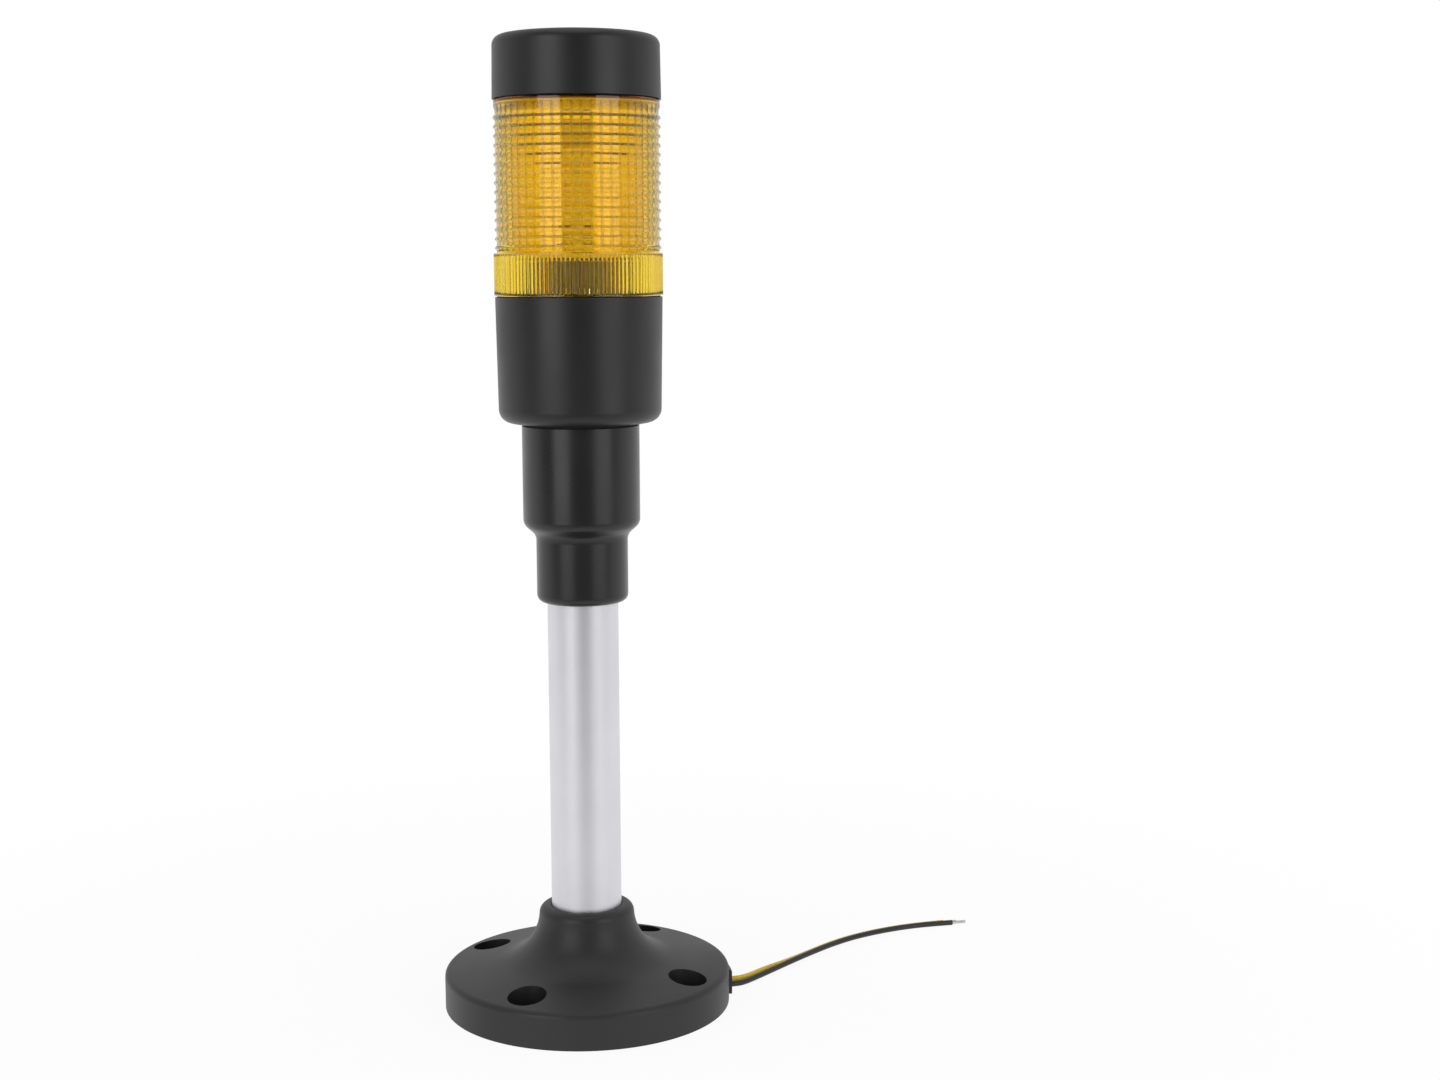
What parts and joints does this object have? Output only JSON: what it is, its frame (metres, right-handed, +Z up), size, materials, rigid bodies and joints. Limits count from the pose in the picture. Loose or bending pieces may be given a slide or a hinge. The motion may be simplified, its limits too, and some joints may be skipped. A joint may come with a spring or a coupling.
{
  "type": "stack light",
  "caption": "Amber signal light on a metal pole with a round screw-down foot; its ringed lens and its cap twist off a bayonet, and two supply leads leave the foot.",
  "frame": {"origin": "on the pole's axis, at the underside of the foot", "axes": "+Z up the pole; the plain side, seen from the front, is -Y; the pole's set screws are at the back, +Y; the supply leads leave towards +X"},
  "size_m": [0.174, 0.1196, 0.3004],
  "materials": {
    "foot_black": "satin",
    "pole_metal": "satin",
    "adapter_black": "satin",
    "screw_steel": "black oxide",
    "insert_brass": "satin",
    "seal_rubber": "matte",
    "housing_black": "satin",
    "socket_black": "matte",
    "bright_steel": "satin",
    "contact_brass": "satin",
    "lens_amber": "gloss",
    "floor_white": "satin",
    "board_white": "satin",
    "led_resin": "gloss",
    "component_black": "satin",
    "cap_black": "satin",
    "lead_black": "satin",
    "lead_yellow": "satin",
    "tinned_copper": "satin"
  },
  "bodies": {
    "stand": {"base_flange": "foot_black", "pole": "pole_metal", "pole_adapter": "adapter_black", "pole_set_screws": "screw_steel", "threaded_inserts": "insert_brass", "adapter_gasket": "seal_rubber", "lamp_housing": "housing_black", "bayonet_socket": "socket_black", "socket_screws": "bright_steel", "contact_pads": "contact_brass", "housing_seal": "seal_rubber", "black_lead_inner": "lead_black", "yellow_lead_inner": "lead_yellow", "black_lead": "lead_black", "yellow_lead": "lead_yellow", "black_lead_end": "tinned_copper", "yellow_lead_end": "tinned_copper"},
    "light_module": {"lens": "lens_amber", "module_floor": "floor_white", "contact_springs": "contact_brass", "led_base_board": "board_white", "led_column_board": "board_white", "led_chips": "led_resin", "board_components": "component_black", "cap_seal": "seal_rubber"},
    "cap": {"top_cap": "cap_black"}
  },
  "joints": [
    {"name": "light_module_twist", "type": "hinge", "parent": "stand", "child": "light_module", "pos_m": [0, 0, 0.2225], "axis": [0, 0, 1], "range_deg": [0, 36]},
    {"name": "cap_twist", "type": "hinge", "parent": "light_module", "child": "cap", "pos_m": [0, 0, 0.2809], "axis": [0, 0, 1], "range_deg": [0, 36]}
  ]
}
